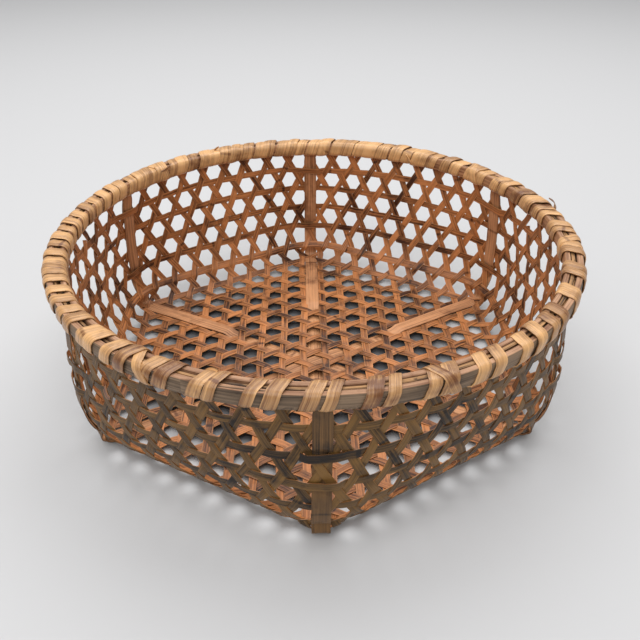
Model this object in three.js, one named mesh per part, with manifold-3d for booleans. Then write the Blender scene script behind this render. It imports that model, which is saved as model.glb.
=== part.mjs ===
// Bamboo harvest basket in open hexagonal weave: millimetres, +Z up, the floor at z = 0 and the
// origin under the centre of the base.
import * as THREE from "three";
import { mergeVertices } from "three/addons/utils/BufferGeometryUtils.js";
import Module from "manifold-3d";

const wasm = await Module();
wasm.setup();

// Overall sizes
const overallHeight = 165;
const rimRadius = 249; // outer face of the outer hoop

// Weave
const baseShare = 0.8386; // half width of the six-sided base, as a share of the rim's radius
const holesPerSide = 9; // holes from one corner of the base to the next
const weftCount = 5;
const firstWeft = 18.4; // middle of the lowest weft above the line of the fold
const topWeftDrop = 19.1; // from the hoops down to the middle of the top weft
const stripWidth = 6.5;
const stripThickness = 0.7;
const stripClearance = 0.8; // free space between crossing strips
const foldLength = 16; // length of stake that bends from the base into the wall
const foldAngle = THREE.MathUtils.degToRad(75);
const cornerReach = 55; // how far each way a corner of the wall is rounded
const footRounding = 0.05; // share of that rounding where the fold starts
const weftStart = 3; // where a weft begins, in holes past a corner
const weftLap = 3; // overlap of a weft's two ends, in holes
const joinReach = 18; // a joined stake leaves its own layer this far each way

// Braces, which cross under the base and run up the corners
const braceWidth = 15;
const braceThickness = 1.4;
const braceTipThickness = 0.9; // shaved to go between the hoops
const braceDiveHole = 4; // the hole where a brace goes down through the base, counted from the centre
const braceStackReach = 24; // half length over which the three braces are stacked at the centre

// Rim
const hoopHeight = 14;
const outerHoopThickness = 6.5;
const innerHoopThickness = 5.5;
const hoopCrown = 0.8; // roundness of the face that keeps the bamboo's skin
const hoopTip = 2; // thickness left at a hoop's scarfed end
const scarfAngle = THREE.MathUtils.degToRad(15);
const outerScarfFacet = 37; // the hoop facet where each hoop's scarf begins
const innerScarfFacet = 9;
const fillerDepth = 5;
const lashingWidth = 7;
const lashingThickness = 0.8;
const lashingStrips = 3; // the rim is wound with this many strips, end to end
const lashingLean = 0.3; // share of a turn's advance made on each upright face of the rim

// Clearances
const gap = 0.3; // between pieces that touch on the real basket
const lashingClearance = 0.6; // the lashing runs over the facets of round hoops
const lashingPass = 0.16; // advance of a turn where it passes under the hoops, in holes

// Facets
const hoopSteps = 6 * holesPerSide; // a facet of the rim for each hole
const wallSteps = 5;
const weftStep = 1.5; // holes from one section of a weft to the next, with one at every corner

// Worked out from the sizes above
const up = new THREE.Vector3(0, 0, 1);
const layerStep = stripThickness + stripClearance;
const baseApothem = baseShare * rimRadius;
const weavePitch = baseApothem / holesPerSide; // between neighbouring stakes that run the same way
const holeSpacing = (2 * weavePitch) / Math.sqrt(3);
const holesAround = 6 * holesPerSide;
const cornerRadius = holesPerSide * holeSpacing;
const foldRadius = foldLength / foldAngle;
const foldEnd = foldLength / 2;
const foldStart = -foldEnd;
const wallLayers = { outer: -layerStep, middle: 0, inner: layerStep };
const outerFace = layerStep + stripThickness / 2; // from the weave's middle surface to its outer face
const innerFace = stripThickness / 2;
const hoopStep = (2 * Math.PI) / hoopSteps;
const facetSag = rimRadius * (1 - Math.cos(Math.PI / hoopSteps)); // a round face's loss at mid facet
const slotOuter = outerFace + 2 * gap + braceTipThickness + facetSag;
const slotInner = innerFace + 2 * gap + braceTipThickness;
const slotRadius = rimRadius - outerHoopThickness - slotOuter; // middle surface of the weave inside the rim
const hoopTop = overallHeight - lashingThickness - lashingClearance;
const hoopBottom = hoopTop - hoopHeight;
const wallTop = hoopBottom - 2 * lashingThickness - gap;
const stripTop = hoopTop - fillerDepth - gap;
const slant = 1 / Math.cos(Math.PI / 6); // a stake is this much wider when measured along a row
const joinBite = 0.1; // how far a joined stake enters the one above it
const joinRise = stripClearance + joinBite;
const baseCornerLevel = braceThickness + gap + outerFace;
const baseCentreLevel = 3 * (braceThickness + gap) + outerFace;

const wovenColour = 0xa9693f;
const weftColour = 0x9b6038;
const braceColour = 0x8d5530;
const hoopColour = 0x7d6d5d;
const cutBambooColour = 0xb98f70;
const lashingColour = 0xcda468;

const bamboo = (color, roughness) => new THREE.MeshStandardMaterial({ color, roughness, metalness: 0 });

// The base is pushed up a little in the middle by the braces stacked below it.
function baseLevel(x, y) {
  const share = (x * x + y * y) / (cornerRadius * cornerRadius);
  return baseCentreLevel + (baseCornerLevel - baseCentreLevel) * share;
}

const direction = (angle) => new THREE.Vector3(Math.cos(angle), Math.sin(angle), 0);
const cornerAngle = (index) => THREE.MathUtils.degToRad(60 * index - 30);

// Position around the basket is counted in holes: corner i stands at i * holesPerSide.
// A hexagon's point at that position, with each corner rounded over a reach on both sides.
function hexagonPoint(around, apothem, reach) {
  const side = Math.floor(around / holesPerSide);
  const nearest = Math.round(around / holesPerSide);
  const scale = apothem / baseApothem;
  const radius = cornerRadius * scale;
  const fromCorner = (around - nearest * holesPerSide) * holeSpacing * scale;
  const corner = direction(cornerAngle(nearest)).multiplyScalar(radius);
  const towardNext = direction(cornerAngle(nearest) + THREE.MathUtils.degToRad(120));
  const fromLast = direction(cornerAngle(nearest) + THREE.MathUtils.degToRad(60));
  if (Math.abs(fromCorner) < reach) {
    const ahead = (fromCorner + reach) ** 2 / (4 * reach);
    const behind = (reach - fromCorner) ** 2 / (4 * reach);
    return corner.addScaledVector(towardNext, ahead).addScaledVector(fromLast, -behind);
  }
  return corner.addScaledVector(side >= nearest ? towardNext : fromLast, fromCorner);
}

const roundPoint = (around, radius) =>
  direction(cornerAngle(0) + (around / holesAround) * 2 * Math.PI).multiplyScalar(radius);

// Length of the wall from the end of the fold to the hoops, averaged between a corner and mid side.
const foldTopApothem = baseApothem + foldStart + foldRadius * Math.sin(foldAngle);
const foldTopHeight = foldRadius * (1 - Math.cos(foldAngle));
const meanFoldTop = (foldTopApothem + (foldTopApothem * cornerRadius) / baseApothem - cornerReach / 2) / 2;
const wallLength = Math.hypot(slotRadius - meanFoldTop, wallTop - baseCornerLevel - foldTopHeight);
const wallEnd = foldEnd + wallLength;
const stripEnd = wallEnd + stripTop - wallTop;
const rowPitch = (wallEnd - topWeftDrop - firstWeft) / (weftCount - 1); // wider than on the base

// Middle surface of the wall. Height is measured along the weave, from the line of the fold.
function wallPoint(around, height) {
  const turned = THREE.MathUtils.clamp((height - foldStart) / foldRadius, 0, foldAngle);
  const apothem = baseApothem + foldStart + foldRadius * Math.sin(turned);
  const reach = cornerReach * Math.max(turned / foldAngle, footRounding);
  const point = hexagonPoint(around, apothem, reach);
  const foot = hexagonPoint(around, baseApothem + foldStart, cornerReach * footRounding);
  point.z = baseLevel(foot.x, foot.y) + foldRadius * (1 - Math.cos(turned));
  if (height <= foldEnd) return point;
  const share = Math.min((height - foldEnd) / wallLength, 1);
  const top = roundPoint(around, slotRadius);
  top.z = wallTop;
  point.lerp(top, share);
  point.z += Math.max(height - wallEnd, 0);
  return point;
}

// Unit vectors on the wall: along the rows, up the wall, and inwards.
function wallAxes(around, height) {
  const step = 0.02;
  const along = wallPoint(around + step, height).sub(wallPoint(around - step, height)).normalize();
  const rise = wallPoint(around, height + step).sub(wallPoint(around, height - step)).normalize();
  const inward = new THREE.Vector3().crossVectors(rise, along).normalize();
  return { along, rise, inward };
}

// Rows of crossings passed at a height along the weave. They stand widest apart round the fold.
const lastBaseHeight = foldStart / 2;
const firstWallHeight = foldEnd * 1.5;
function rowsAt(height) {
  const onBase = (at) => at / weavePitch;
  const onWall = (at) => 0.5 + (at - firstWeft) / rowPitch;
  if (height <= lastBaseHeight) return onBase(height);
  if (height >= firstWallHeight) return onWall(height);
  const share = (height - lastBaseHeight) / (firstWallHeight - lastBaseHeight);
  return THREE.MathUtils.lerp(onBase(lastBaseHeight), onWall(firstWallHeight), share);
}

// A closed solid through a row of sections, each an equal number of corners; a ring joins its ends.
function loft(sections, ring = false) {
  const corners = sections[0].length;
  const positions = sections.flat().flatMap((point) => point.toArray());
  const index = [];
  const last = ring ? sections.length : sections.length - 1;
  for (let i = 0; i < last; i++) {
    const here = i * corners;
    const next = ((i + 1) % sections.length) * corners;
    for (let k = 0; k < corners; k++) {
      const other = (k + 1) % corners;
      index.push(here + k, next + other, here + other, here + k, next + k, next + other);
    }
  }
  if (!ring) {
    const end = (sections.length - 1) * corners;
    for (let k = 1; k < corners - 1; k++) {
      index.push(0, k, k + 1);
      index.push(end, end + k + 1, end + k);
    }
  }
  const geometry = new THREE.BufferGeometry();
  geometry.setAttribute("position", new THREE.Float32BufferAttribute(positions, 3));
  geometry.setIndex(index);
  return geometry;
}

// The four corners of a flat strip where its middle line passes a point.
function stripSection(point, across, normal, width, thickness) {
  const half = across.clone().multiplyScalar(width / 2);
  const face = normal.clone().multiplyScalar(thickness / 2);
  return [
    point.clone().sub(half).sub(face),
    point.clone().add(half).sub(face),
    point.clone().add(half).add(face),
    point.clone().sub(half).add(face),
  ];
}

// Stakes run straight over the base in three directions, one layer on another, then bend up and cross
// each other on the wall, where the right-hand climbers lie outside the left-hand ones.
const families = [
  { name: "a", angle: THREE.MathUtils.degToRad(90), layer: wallLayers.outer },
  { name: "b", angle: THREE.MathUtils.degToRad(30), layer: wallLayers.middle },
  { name: "c", angle: THREE.MathUtils.degToRad(150), layer: wallLayers.inner },
];

// Heights where a stake has a section round the fold, and how far it has changed layer there.
// Where two families have to change places, they do so above the line of the fold.
const plainFold = { heights: [foldStart, 0, foldEnd], change: [0, 0.5, 1] };
const swapStart = firstWallHeight + gap;
const swapEnd = firstWeft + stripWidth;
const swapHeights = [...plainFold.heights, swapStart, swapEnd];
const swapOutwards = { heights: swapHeights, change: [0, 0.05, 0.2, 0.36, 1] };
const swapInwards = { heights: swapHeights, change: [0, 0.02, 0.1, 0.2, 1] };

// On two opposite sides the stakes that climb right come from the top layer of the base.
const sideIsSwapped = (side) => side % 3 === 2;

// Length of a stake from the middle of the base to the start of the fold.
const baseReach = (offset) => (baseApothem + foldStart - Math.abs(offset) / 2) / Math.cos(Math.PI / 6);

// The wall end of a stake, from the fold up to the rim.
function stakeClimb(family, offset, reversed) {
  const angle = family.angle + (reversed ? Math.PI : 0);
  const climbsRight = reversed ? offset < 0 : offset > 0;
  const sideAngle = angle + (climbsRight ? -Math.PI / 6 : Math.PI / 6);
  const side = Math.round(THREE.MathUtils.euclideanModulo(sideAngle, 2 * Math.PI) / (Math.PI / 3)) % 6;
  const linesFromCorner = Math.abs(offset) / weavePitch;
  const crossing = side * holesPerSide + (climbsRight ? holesPerSide - linesFromCorner : linesFromCorner);
  const holesPerRow = climbsRight ? 0.5 : -0.5;
  const wallLayer = climbsRight ? wallLayers.outer : wallLayers.middle;
  const swap = climbsRight ? swapOutwards : swapInwards;
  const fold = sideIsSwapped(side) ? swap : plainFold;

  const heights = [...fold.heights];
  const wallStart = heights.at(-1);
  for (let i = 1; i <= wallSteps; i++) heights.push(wallStart + ((wallEnd - wallStart) * i) / wallSteps);
  heights.push(stripEnd);
  return heights.map((height, i) => {
    const around = crossing + holesPerRow * rowsAt(height);
    const { along, inward } = wallAxes(around, height);
    const layer = THREE.MathUtils.lerp(family.layer, wallLayer, fold.change[i] ?? 1);
    const point = wallPoint(around, height).addScaledVector(inward, layer);
    return { point, across: along.multiplyScalar(reversed ? slant : -slant), normal: inward };
  });
}

// Distances along the base where a stake has a section. One that is joined to the stake above it
// rises to meet it where they cross.
function stakeGeometry(family, offset, joinAt) {
  const reach = baseReach(offset);
  const middles = Math.abs(offset) > baseApothem / 2 ? [0] : [-reach / 2, 0, reach / 2];
  const free = (at) => joinAt === undefined || Math.abs(at - joinAt) > joinReach + stripWidth;
  const places = middles.filter(free);
  if (joinAt !== undefined) places.push(joinAt - joinReach, joinAt, joinAt + joinReach);
  const across = direction(family.angle - Math.PI / 2);
  const base = places
    .sort((a, b) => a - b)
    .map((at) => {
      const point = across.clone().multiplyScalar(offset).addScaledVector(direction(family.angle), at);
      point.z = baseLevel(point.x, point.y) + family.layer + (at === joinAt ? joinRise : 0);
      return { point, across, normal: up };
    });
  const start = stakeClimb(family, offset, true).reverse();
  const path = [...start, ...base, ...stakeClimb(family, offset, false)];
  return loft(path.map((at) => stripSection(at.point, at.across, at.normal, stripWidth, stripThickness)));
}

// A weft is one strip round the wall on the inner side, with its ends overlapped.
function weftGeometry(row) {
  const height = firstWeft + row * rowPitch;
  const start = row * holesPerSide + weftStart;
  const sections = [];
  for (let turn = 0; turn <= holesAround + weftLap; turn += weftStep) {
    const around = start + turn;
    const { rise, inward } = wallAxes(around, height);
    const layer = wallLayers.inner + (turn >= holesAround ? layerStep : 0);
    const point = wallPoint(around, height).addScaledVector(inward, layer);
    sections.push(stripSection(point, rise, inward, stripWidth, stripThickness));
  }
  return loft(sections);
}

// A brace lies under the front half of the base and outside the front corner, and over the back half
// of the base and inside the back corner. The order says how many braces lie below it at the centre.
function braceGeometry(frontCorner, order) {
  const ahead = direction(cornerAngle(frontCorner));
  const across = new THREE.Vector3().crossVectors(ahead, up);
  const frontAround = frontCorner * holesPerSide;
  const backAround = frontAround + 3 * holesPerSide;
  const sections = [];
  const addBase = (distance, level) => {
    const point = ahead.clone().multiplyScalar(distance);
    point.z = level;
    sections.push(stripSection(point, across, up, braceWidth, braceThickness));
  };
  const addWall = (around, height, layer, thickness, flip) => {
    const { along, inward } = wallAxes(around, height);
    const point = wallPoint(around, height).addScaledVector(inward, layer);
    sections.push(stripSection(point, along.multiplyScalar(flip), inward, braceWidth, thickness));
  };
  const lift = braceThickness / 2;
  const aboveWeave = outerFace + gap + lift;
  const weftTurn = ((Math.PI / 12) * weftStep * holeSpacing) / cornerReach; // of a weft's facet at a corner
  const insideWefts = aboveWeave + (braceWidth / 2) * Math.tan(weftTurn) + gap;
  const outsideStakes = -(outerFace + gap + lift);
  const insideTip = innerFace + gap + braceTipThickness / 2;
  const outsideTip = -(outerFace + gap + braceTipThickness / 2);
  const lastWeft = firstWeft + (weftCount - 1) * rowPitch + stripWidth / 2 + gap;
  const dive = braceDiveHole * holeSpacing;
  const diveReach = holeSpacing / 2 - braceWidth / 2 / Math.sqrt(3) - stripWidth / Math.sqrt(3);
  const baseEnd = (baseApothem + foldStart) / Math.cos(Math.PI / 6);
  const stacked = lift + order * (braceThickness + gap);
  const wallHeights = [foldStart / 3, foldEnd / 3, foldEnd]; // sections round the fold

  addWall(backAround, stripEnd, insideTip, braceTipThickness, 1);
  addWall(backAround, wallEnd, insideTip, braceTipThickness, 1);
  addWall(backAround, lastWeft, insideWefts, braceThickness, 1);
  addWall(backAround, (lastWeft + foldEnd) / 2, insideWefts, braceThickness, 1);
  for (const height of [...wallHeights].reverse()) {
    addWall(backAround, height, insideWefts, braceThickness, 1);
  }
  for (const distance of [baseEnd - insideWefts, (baseEnd + dive) / 2, dive + diveReach]) {
    addBase(-distance, baseLevel(distance, 0) + aboveWeave);
  }
  addBase(-dive + diveReach, lift);
  addBase(-2 * braceStackReach, lift);
  addBase(-braceStackReach, stacked);
  addBase(braceStackReach, stacked);
  addBase(2 * braceStackReach, lift);
  addBase(baseEnd, lift);
  for (const height of [...wallHeights, (lastWeft + foldEnd) / 2, lastWeft]) {
    addWall(frontAround, height, outsideStakes, braceThickness, -1);
  }
  addWall(frontAround, wallEnd, outsideTip, braceTipThickness, -1);
  addWall(frontAround, stripEnd, outsideTip, braceTipThickness, -1);
  return loft(sections);
}

// A split bamboo hoop. Its ends are scarfed and overlap, and its skin side is slightly round.
function hoopGeometry(innerRadius, outerRadius, skinOutside, scarfAt) {
  const sections = [];
  const lapSteps = Math.round(scarfAngle / hoopStep);
  const middle = (hoopTop + hoopBottom) / 2;
  for (let i = 0; i <= hoopSteps + lapSteps; i++) {
    const outward = direction(scarfAt + i * hoopStep);
    const startShare = Math.min(i / lapSteps, 1);
    const endShare = Math.max((i - hoopSteps) / lapSteps, 0);
    const split = (share) =>
      THREE.MathUtils.lerp(outerRadius - hoopTip, innerRadius + hoopTip + gap, share);
    const inside = i > lapSteps ? innerRadius : split(startShare);
    const outside = i < hoopSteps ? outerRadius : split(endShare) - gap;
    const crownOut = skinOutside && i < hoopSteps ? hoopCrown : 0;
    const crownIn = !skinOutside && i > lapSteps ? hoopCrown : 0;
    const at = (radius, z) => outward.clone().multiplyScalar(radius).setZ(z);
    sections.push([
      at(inside + crownIn, hoopBottom),
      at(outside - crownOut, hoopBottom),
      at(outside, middle),
      at(outside - crownOut, hoopTop),
      at(inside + crownIn, hoopTop),
      at(inside, middle),
    ]);
  }
  return loft(sections);
}

// Thin splints close the groove between the hoops, over the ends of the stakes.
function fillerGeometry() {
  const inside = slotRadius - slotInner + gap;
  const outside = slotRadius + slotOuter - gap;
  const sections = [];
  for (let i = 0; i < hoopSteps; i++) {
    const outward = direction((i / hoopSteps) * 2 * Math.PI);
    const at = (radius, z) => outward.clone().multiplyScalar(radius).setZ(z);
    const bottom = hoopTop - fillerDepth;
    sections.push([at(inside, bottom), at(outside, bottom), at(outside, hoopTop), at(inside, hoopTop)]);
  }
  return loft(sections, true);
}

// The lashing is a flat strip wound round both hoops, rising to the right on the outside. Each turn goes
// through a hole of the top row, half way between two crossings. Rounded edges take two sections each.
function lashingGeometry(strip) {
  const inside = slotRadius - slotInner - innerHoopThickness - lashingClearance;
  const outside = rimRadius + lashingClearance;
  const bottom = hoopBottom - lashingClearance;
  const top = hoopTop + lashingClearance;
  const round = lashingThickness;
  const turn = [
    { at: [inside + round, bottom], out: [0, -1], share: 0 },
    { at: [inside, bottom + round], out: [-1, 0], share: 0 },
    { at: [inside, top - round], out: [-1, 0], share: lashingLean },
    { at: [inside + round, top], out: [0, 1], share: lashingLean },
    { at: [outside - round, top], out: [0, 1], share: 1 - lashingLean },
    { at: [outside, top - round], out: [1, 0], share: 1 - lashingLean },
    { at: [outside, bottom + round], out: [1, 0], share: 1 },
    { at: [outside - round, bottom], out: [0, -1], share: 1 },
  ];
  const perStrip = holesAround / lashingStrips;
  const advance = lashingPass - 1;
  const widened = Math.hypot(1, (lashingLean * advance * holeSpacing) / hoopHeight);
  const turns = [];
  for (let hole = (strip + 1) * perStrip; hole > strip * perStrip; hole--) {
    const start = hole - 0.5 - lashingPass / 2;
    const sections = turn.map(({ at, out, share }) => {
      const outward = roundPoint(start + advance * share, 1);
      const half = new THREE.Vector3().crossVectors(up, outward);
      half.multiplyScalar((lashingWidth * widened) / 2);
      const edge = (reach, sign) =>
        outward
          .clone()
          .multiplyScalar(at[0] + out[0] * reach)
          .setZ(at[1] + out[1] * reach)
          .addScaledVector(half, sign);
      const far = lashingThickness;
      return [edge(0, -1), edge(far, -1), edge(far, 1), edge(0, 1)];
    });
    turns.push(sections);
  }
  console.log("rim_lashing_" + (strip + 1), "least gap", leastGap(turns).toFixed(2), "mm");
  return loft(turns.flat());
}

// Least distance between each turn and the next, on points along their edges.
function leastGap(turns) {
  const pointsPerEdge = 6;
  const edges = (turn) =>
    turn.slice(1).flatMap((section, i) =>
      section.flatMap((point, k) =>
        Array.from({ length: pointsPerEdge }, (_, n) => turn[i][k].clone().lerp(point, n / pointsPerEdge)),
      ),
    );
  let least = Infinity;
  for (let i = 1; i < turns.length; i++) {
    const before = edges(turns[i - 1]);
    for (const point of edges(turns[i])) {
      for (const other of before) least = Math.min(least, point.distanceTo(other));
    }
  }
  return least;
}

// Solids for the joined stakes
function solid(geometry) {
  const merged = mergeVertices(geometry, 1e-4);
  const mesh = new wasm.Mesh({
    numProp: 3,
    vertProperties: merged.attributes.position.array,
    triVerts: new Uint32Array(merged.index.array),
  });
  return new wasm.Manifold(mesh);
}

function geometryOf(made) {
  const { vertProperties, triVerts } = made.getMesh();
  const geometry = new THREE.BufferGeometry();
  geometry.setAttribute("position", new THREE.BufferAttribute(vertProperties, 3));
  return geometry.setIndex(new THREE.BufferAttribute(triVerts, 1));
}

const basket = new THREE.Group();
const weave = new THREE.Group();
const braces = new THREE.Group();
const rim = new THREE.Group();
basket.add(weave, braces, rim);

function add(group, name, geometry, material) {
  const mesh = new THREE.Mesh(geometry, material);
  mesh.name = name;
  group.add(mesh);
}

const number = (index) => String(index + 1).padStart(2, "0");
const stakesPerFamily = 2 * holesPerSide;
const joinedPairs = holesPerSide - 1;
for (let i = 0; i < stakesPerFamily; i++) {
  const offset = (i + 0.5 - holesPerSide) * weavePitch;
  const [lower, middle, upper] = families;
  const material = () => bamboo(wovenColour, 0.6);
  if (offset > 0 && i < holesPerSide + joinedPairs) {
    const joinAt = -offset * Math.tan(Math.PI / 6);
    const pair = solid(stakeGeometry(lower, offset, joinAt)).add(solid(stakeGeometry(middle, offset)));
    add(weave, "stake_pair_" + number(i - holesPerSide), geometryOf(pair), material());
  } else {
    add(weave, "stake_a_" + number(i), stakeGeometry(lower, offset), material());
    add(weave, "stake_b_" + number(i), stakeGeometry(middle, offset), material());
  }
  add(weave, "stake_c_" + number(i), stakeGeometry(upper, offset), material());
}
for (let row = 0; row < weftCount; row++) {
  add(weave, "weft_" + (row + 1), weftGeometry(row), bamboo(weftColour, 0.6));
}
add(braces, "brace_front", braceGeometry(5, 0), bamboo(braceColour, 0.65));
add(braces, "brace_right", braceGeometry(0, 1), bamboo(braceColour, 0.65));
add(braces, "brace_left", braceGeometry(4, 2), bamboo(braceColour, 0.65));

const outerHoopBore = slotRadius + slotOuter;
const innerHoopRadius = slotRadius - slotInner;
const outerHoop = hoopGeometry(outerHoopBore, rimRadius, true, outerScarfFacet * hoopStep);
const innerHoop = hoopGeometry(
  innerHoopRadius - innerHoopThickness,
  innerHoopRadius,
  false,
  innerScarfFacet * hoopStep,
);
add(rim, "outer_hoop", outerHoop, bamboo(hoopColour, 0.7));
add(rim, "inner_hoop", innerHoop, bamboo(cutBambooColour, 0.7));
add(rim, "rim_filler", fillerGeometry(), bamboo(lashingColour, 0.6));
for (let strip = 0; strip < lashingStrips; strip++) {
  add(rim, "rim_lashing_" + (strip + 1), lashingGeometry(strip), bamboo(lashingColour, 0.4));
}

export default basket;
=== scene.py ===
import math
import bpy
import numpy as np
from mathutils import Matrix, Vector


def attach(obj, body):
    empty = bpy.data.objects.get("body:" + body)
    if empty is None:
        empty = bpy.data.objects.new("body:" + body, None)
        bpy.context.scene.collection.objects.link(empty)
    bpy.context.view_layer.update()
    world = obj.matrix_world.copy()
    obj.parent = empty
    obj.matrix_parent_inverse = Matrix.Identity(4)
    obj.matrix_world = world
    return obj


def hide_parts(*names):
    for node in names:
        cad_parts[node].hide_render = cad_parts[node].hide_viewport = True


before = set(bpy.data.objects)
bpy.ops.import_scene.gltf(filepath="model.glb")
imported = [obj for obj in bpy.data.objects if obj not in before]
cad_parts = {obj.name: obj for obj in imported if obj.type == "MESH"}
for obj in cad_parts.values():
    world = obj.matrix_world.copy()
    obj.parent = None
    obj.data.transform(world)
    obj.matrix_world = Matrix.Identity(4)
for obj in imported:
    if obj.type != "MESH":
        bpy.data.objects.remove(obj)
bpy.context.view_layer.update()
print("frame loaded")

# The basket's own sizes, in metres. Heights in the weave are measured along it, from the outermost
# crossings of the base, so they are below zero on the base and above it on the wall.
basket = {
    "pitch": 0.0232,               # from one strip to the next that runs the same way
    "holesPerSide": 9,
    "wefts": 5,
    "firstWeft": 0.011,
    "weftPitch": 0.02634,
    "stripWidth": 0.0072,
    "stripThickness": 0.0007,
    "overUnder": 0.00043,          # rise of a strip over its neighbours, and its fall under them
    "leastFree": 0.0009,           # shortest run in which it goes from over to under
    "foldInset": 0.0067,           # the fold's middle lies this far inside the outermost crossings
    "foldLength": 0.0338,
    "foldAngle": math.radians(75),
    "turnStart": -0.008,           # below this height a strip lies as it crosses the flat base
    "rowsEase": (-0.004, 0.012),   # between these heights the rows go from the base's pitch to the wall's
    "cornerReach": 0.0444,         # the wall is rounded over this length on both sides of a corner
    "sharpest": 0.05,              # share of that reach that is left on the base
    "bulge": (0.0084, 0.0103),     # of the wall, in the middle of a side and at a corner
    "bulgeRise": 0.57,             # under 1 puts the fullest place of the wall below its middle
    "baseAtCorner": 0.0029,        # middle of the weave over the floor
    "baseAtCentre": 0.0062,
    "baseAtFold": 0.00355,
    "hoopBottom": 0.1496,
    "hoopTop": 0.1636,
    "wallBelowHoops": 0.0019,      # the curve of the wall ends this far under the hoops
    "weaveBelowTop": 0.0053,       # the strips end this far under the top of the hoops
    "weaveRadius": 0.23873,        # the weave between the hoops
}
pitch = basket["pitch"]
rowPitch = basket["weftPitch"]
holes = basket["holesPerSide"]
aroundHoles = 6 * holes
toCorner = 2 / math.sqrt(3)        # a hexagon's corner, and its side, against the distance to a side's middle
holeStep = pitch * toCorner
baseApothem = holes * pitch
cornerRadius = baseApothem * toCorner
turnStart = basket["turnStart"]
foldStart = -basket["foldInset"] - basket["foldLength"] / 2
foldStop = -basket["foldInset"] + basket["foldLength"] / 2
foldRadius = basket["foldLength"] / basket["foldAngle"]
foldRise = foldRadius * (1 - math.cos(basket["foldAngle"]))
foldTopApothem = baseApothem + foldStart + foldRadius * math.sin(basket["foldAngle"])
# mean radius at the top of the fold, between the middle of a side and a rounded corner
meanFoldTop = (foldTopApothem + foldTopApothem * toCorner - basket["cornerReach"] / 2) / 2
wallTop = basket["hoopBottom"] - basket["wallBelowHoops"]
weaveTop = basket["hoopTop"] - basket["weaveBelowTop"]
wallLength = math.hypot(basket["weaveRadius"] - meanFoldTop, wallTop - basket["baseAtFold"] - foldRise)
wallEnd = foldStop + wallLength
stripEnd = wallEnd + weaveTop - wallTop


def smooth(value, low, high):
    share = np.clip((value - low) / (high - low), 0, 1)
    return share * share * (3 - 2 * share)


def towards(angle):
    return np.stack([np.cos(angle), np.sin(angle), np.zeros_like(angle)], -1)


def bearing(around):
    # angle of a place that is counted in holes round the basket
    return math.radians(-30) + around / aroundHoles * 2 * math.pi


def lengthAlong(path):
    return np.concatenate([[0], np.cumsum(np.linalg.norm(np.diff(path, axis=0), axis=1))])


def unit(vectors):
    return vectors / np.linalg.norm(vectors, axis=-1, keepdims=True)


def slowNoise(length, seed, waves=5):
    # a smooth random line from -1 to 1 along a strip; length is an array of places in metres
    own = np.random.default_rng(seed)
    total = np.zeros_like(length)
    for _ in range(waves):
        total += own.uniform(0.3, 1) * np.sin(length * own.uniform(8, 60) + own.uniform(0, 6.3))
    return total / waves


def baseLevel(x, y):
    # the base is a shallow dome
    share = (x * x + y * y) / cornerRadius**2
    return basket["baseAtCentre"] + (basket["baseAtCorner"] - basket["baseAtCentre"]) * share


def foldTurn(height):
    return np.clip((height - foldStart) / foldRadius, 0, basket["foldAngle"])


def basePoint(x, y):
    # a point of the base, drawn in and raised where it nears the wall
    angle = np.radians(60) * np.arange(6)
    apothem = (x[..., None] * np.cos(angle) + y[..., None] * np.sin(angle)).max(-1)
    turned = foldTurn(apothem - baseApothem)
    newApothem = baseApothem + foldStart + foldRadius * np.sin(turned)
    scale = np.where(turned > 0, newApothem / np.maximum(apothem, pitch), 1)
    point = np.stack([x * scale, y * scale, foldRadius * (1 - np.cos(turned))], -1)
    point[..., 2] += baseLevel(point[..., 0], point[..., 1])
    return point


# Length along the rounding of a corner, from its middle to each share of its reach
reachShares = np.linspace(0, 1, 200)
roundSpeed = np.sqrt(3 + reachShares**2) / 2
roundLength = np.concatenate([[0], np.cumsum((roundSpeed[1:] + roundSpeed[:-1]) / 2 * np.diff(reachShares))])


def wallPoint(around, height):
    # a point of the wall, at a place round the basket and a height along the weave
    turned = foldTurn(height)
    apothem = baseApothem + foldStart + foldRadius * np.sin(turned)
    halfSide = apothem * toCorner / 2
    nearest = np.round(around / holes)

    # how far along its side it stands from the nearest corner: on the wall, and on the base
    reach = basket["cornerReach"] * np.maximum(smooth(height, turnStart, foldStop), basket["sharpest"])
    arc = reach * roundLength[-1]
    away = around - nearest * holes
    run = np.abs(away) * 2 / holes * (halfSide - reach + arc)
    onArc = np.interp(run / reach, roundLength, reachShares) * reach
    wallPlace = np.sign(away) * np.where(run < arc, onArc, reach + run - arc)
    fromMiddle = (around - (np.floor(around / holes) + 0.5) * holes) * holeStep
    basePlace = np.sign(fromMiddle) * (np.abs(fromMiddle) * apothem / (baseApothem + height) - halfSide)
    place = basePlace + (wallPlace - basePlace) * smooth(height, turnStart, 0.0)

    # the six sides, with a parabola round each corner
    cornerAt = np.radians(60 * nearest - 30)
    onward, before = towards(cornerAt + math.radians(120)), towards(cornerAt + math.radians(60))
    ahead = np.where(np.abs(place) < reach, (place + reach) ** 2 / (4 * reach), np.maximum(place, 0))
    behind = np.where(np.abs(place) < reach, (reach - place) ** 2 / (4 * reach), np.maximum(-place, 0))
    point = towards(cornerAt) * (apothem * toCorner)[..., None]
    point = point + onward * ahead[..., None] - before * behind[..., None]
    point[..., 2] = baseLevel(point[..., 0], point[..., 1]) + foldRadius * (1 - np.cos(turned))

    # from the fold up to the round rim, and the bulge between them
    rise = np.clip((height - foldStop) / wallLength, 0, 1)
    angle = bearing(around)
    top = towards(angle) * basket["weaveRadius"]
    top[..., 2] = wallTop
    point = point + (top - point) * rise[..., None]
    atSide, atCorner = basket["bulge"]
    bulge = atSide + (atCorner - atSide) * (0.5 + 0.5 * np.cos(6 * (angle + math.radians(30))))
    point = point + towards(angle) * (bulge * np.sin(math.pi * rise ** basket["bulgeRise"]))[..., None]
    point[..., 2] += np.maximum(height - wallEnd, 0)
    return point


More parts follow.
